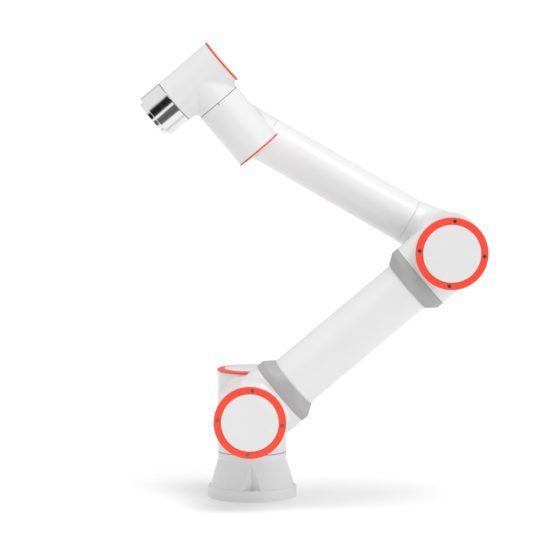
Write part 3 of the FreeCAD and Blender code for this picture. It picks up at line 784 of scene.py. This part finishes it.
def cap(owner):
    """White end cap: a gently domed disc with a soft edge, its flange and the plug in the bore."""
    size = TAPERED if owner == "forearm" else SIZES[owner]
    face = -size.back
    top = face - size.rise
    edge = face - 0.88 * size.rise
    flange = face - 0.3 * size.rise
    under = face - CAP_LIFT
    slope = math.atan((edge - top) / (0.45 * size.disc))
    dome = 0.4 * size.disc / math.tan(slope / 2)
    piece = lathe("visual_" + owner + "_cap", PLACES[owner], [
        (0, top), (0.55 * size.disc, top, dome), (size.disc, edge, 0.15 * size.rise), (size.disc, flange),
        (size.shell - 1, flange), (size.shell - 1, under), (size.bore - 0.2, under),
        (size.bore - 0.2, face + PLUG_DEPTH, 0.4), (size.bore - PLUG_WALL, face + PLUG_DEPTH, 0.4),
        (size.bore - PLUG_WALL, under), (0, under)], BODIES[owner], "cap_white", segments=192)
    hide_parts(owner + "_cap")


for owner in PLACES:
    cap(owner)


def set_screw():
    """Headless screw in the forearm's tapered stub, a touch proud of the paint, with a dished socket."""
    slope = (FORE_STUB_ROOT - FORE_TUBE_RADIUS) / FORE_STUB_LENGTH
    height = FORE_STUB_ROOT - slope * SET_SCREW_STATION - LARGE.stub
    matrix = ELBOW_PLACE @ Matrix.Translation((SET_SCREW_STATION, 0, height))
    socket = 0.58 * SET_SCREW_RADIUS
    piece = lathe("visual_forearm_set_screw", matrix, [
        (0, -4), (SET_SCREW_RADIUS, -4), (SET_SCREW_RADIUS, 0.15, 0.15), (socket, 0.15, 0.1),
        (socket, -1.3), (0, -1.7)], "forearm", "screw_steel", segments=48)
    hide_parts("forearm_set_screw")


def zero_mark():
    """Thin filled mark at the wrist's rotating face, on the side away from the stub."""
    outer, inner = SMALL.shell + 0.04, SMALL.shell - 0.4
    high = SMALL.seam - HALF_SEAM - 0.35
    low = high - MARK_LENGTH
    columns = 5
    half = MARK_WIDTH / 2 / SMALL.shell
    verts = []
    for i in range(columns):
        angle = math.pi - half + 2 * half * i / (columns - 1)
        c, s = math.cos(angle), math.sin(angle)
        verts += [(r * c, r * s, z) for r, z in ((outer, low), (outer, high), (inner, high), (inner, low))]
    faces = [(3, 2, 1, 0), tuple(4 * (columns - 1) + k for k in range(4))]
    for i in range(columns - 1):
        a, b = 4 * i, 4 * (i + 1)
        faces += [(a + k, a + (k + 1) % 4, b + (k + 1) % 4, b + k) for k in range(4)]
    piece = finished("wrist_1_zero_mark", PLACES["wrist_1"], verts, faces, "wrist_1", "collar_grey",
                     material=SEAL_BLACK)
    piece.data.set_sharp_from_angle(angle=math.radians(40))


set_screw()
zero_mark()

# ---------------------------------------------------------------- carried-over CAD nodes


def material_of(node):
    """The record's material slot of a CAD node."""
    return next(s["material_slot"] for s in frame["record"]["subparts"] if s["node"] == node)


for node_name, node in frame["nodes"].items():
    node.data.materials.clear()
    node.data.materials.append(MATERIALS[material_of(node_name)])


# ---------------------------------------------------------------- floor, light and camera

FLOOR_RADIUS = 400.0
FLOOR_SIDES = 64
FLOOR_SHADE = 0.93
STUDIO_STRENGTH = 0.60
mesh = bpy.data.meshes.new("floor")
turns = [2 * math.pi * i / FLOOR_SIDES for i in range(FLOOR_SIDES)]
corners = [(FLOOR_RADIUS * math.cos(a), FLOOR_RADIUS * math.sin(a), 0) for a in turns]
mesh.from_pydata(corners, [], [list(range(FLOOR_SIDES))])
floor = bpy.data.objects.new("floor", mesh)
bpy.context.scene.collection.objects.link(floor)
pale = bpy.data.materials.new("floor_pale")
pale.use_nodes = True
pale_shader = pale.node_tree.nodes["Principled BSDF"]
pale_shader.inputs["Base Color"].default_value = (FLOOR_SHADE, FLOOR_SHADE, FLOOR_SHADE, 1)
pale_shader.inputs["Roughness"].default_value = 0.9
pale_shader.inputs["Specular IOR Level"].default_value = 0.1
mesh.materials.append(pale)

world = bpy.data.worlds.new("studio")
bpy.context.scene.world = world
world.use_nodes = True
sky = world.node_tree.nodes["Background"]
sky.inputs["Strength"].default_value = STUDIO_STRENGTH
sky_tree = world.node_tree
sky_direction = sky_tree.nodes.new("ShaderNodeTexCoord").outputs["Generated"]


def card(colour, towards, half_angle, softness, shade):
    """Darken or brighten the studio in one direction, as a black card or a softbox on a stand does."""
    facing = sky_tree.nodes.new("ShaderNodeVectorMath")
    facing.operation = "DOT_PRODUCT"
    facing.inputs[1].default_value = Vector(towards).normalized()
    sky_tree.links.new(sky_direction, facing.inputs[0])
    edge = sky_tree.nodes.new("ShaderNodeMapRange")
    edge.interpolation_type = "SMOOTHSTEP"
    edge.inputs["From Min"].default_value = math.cos(math.radians(half_angle + softness))
    edge.inputs["From Max"].default_value = math.cos(math.radians(half_angle))
    sky_tree.links.new(facing.outputs["Value"], edge.inputs["Value"])
    mix = sky_tree.nodes.new("ShaderNodeMix")
    mix.data_type = "RGBA"
    sky_tree.links.new(edge.outputs["Result"], mix.inputs["Factor"])
    if colour:
        sky_tree.links.new(colour, mix.inputs["A"])
    else:
        mix.inputs["A"].default_value = (1, 1, 1, 1)
    mix.inputs["B"].default_value = (shade, shade, shade, 1)
    return mix.outputs["Result"]


studio = card(None, (-0.68, 0.05, 0.73), 36, 22, 1.6)
studio = card(studio, (-0.26, -0.92, 0.30), 15, 12, 0.02)
sky_tree.links.new(studio, sky.inputs["Color"])


def soft_sun(name, towards_light, power, spread):
    """Large soft light from one direction."""
    light = bpy.data.lights.new(name, "SUN")
    light.energy = power
    light.angle = math.radians(spread)
    lamp = bpy.data.objects.new(name, light)
    lamp.rotation_euler = Vector(towards_light).to_track_quat("Z", "Y").to_euler()
    bpy.context.scene.collection.objects.link(lamp)
    return lamp


soft_sun("key", (0.30, -0.35, 1.0), 1.5, 38)
fill = soft_sun("fill", (0.70, -1.0, 0.15), 1.0, 60)
fill.visible_glossy = False


def grey_flag(name, centre, towards, width, height, shade):
    """Grey board beside the arm that only shiny surfaces see."""
    board = bpy.data.meshes.new(name)
    x, y = width / 2, height / 2
    board.from_pydata([(-x, -y, 0), (x, -y, 0), (x, y, 0), (-x, y, 0)], [], [(0, 1, 2, 3)])
    flag = bpy.data.objects.new(name, board)
    flag.location = centre
    flag.rotation_euler = (Vector(towards) - Vector(centre)).to_track_quat("Z", "Y").to_euler()
    bpy.context.scene.collection.objects.link(flag)
    paint = bpy.data.materials.new(name)
    paint.use_nodes = True
    shader = paint.node_tree.nodes["Principled BSDF"]
    shader.inputs["Base Color"].default_value = (0, 0, 0, 1)
    shader.inputs["Specular IOR Level"].default_value = 0
    shader.inputs["Emission Color"].default_value = (1, 1, 1, 1)
    shader.inputs["Emission Strength"].default_value = shade
    board.materials.append(paint)
    for ray in ("camera", "diffuse", "transmission", "volume_scatter", "shadow"):
        setattr(flag, "visible_" + ray, False)


TOOL_CENTRE = WRIST_3 + TOOL * 0.08
grey_flag("flag_low_right", TOOL_CENTRE + Vector((0.50, -0.85, -0.42)), TOOL_CENTRE, 1.1, 1.1, 0.13)

CAMERA_TARGET = Vector((0.0392, -0.080, 0.3802))
CAMERA_AZIMUTH = math.radians(0.64)
CAMERA_ELEVATION = math.radians(5.47)
CAMERA_DISTANCE = 5.068
CAMERA_LENS = 201.56
towards_camera = Vector((math.sin(CAMERA_AZIMUTH) * math.cos(CAMERA_ELEVATION),
                         -math.cos(CAMERA_AZIMUTH) * math.cos(CAMERA_ELEVATION), math.sin(CAMERA_ELEVATION)))
camera_data = bpy.data.cameras.new("camera")
camera_data.sensor_width = 36.0
camera_data.lens = CAMERA_LENS
camera_data.clip_end = 1000.0
camera = bpy.data.objects.new("camera", camera_data)
camera.location = CAMERA_TARGET + towards_camera * CAMERA_DISTANCE
camera.rotation_euler = towards_camera.to_track_quat("Z", "Y").to_euler()
bpy.context.scene.collection.objects.link(camera)
bpy.context.scene.camera = camera
bpy.context.scene.view_settings.view_transform = "Standard"
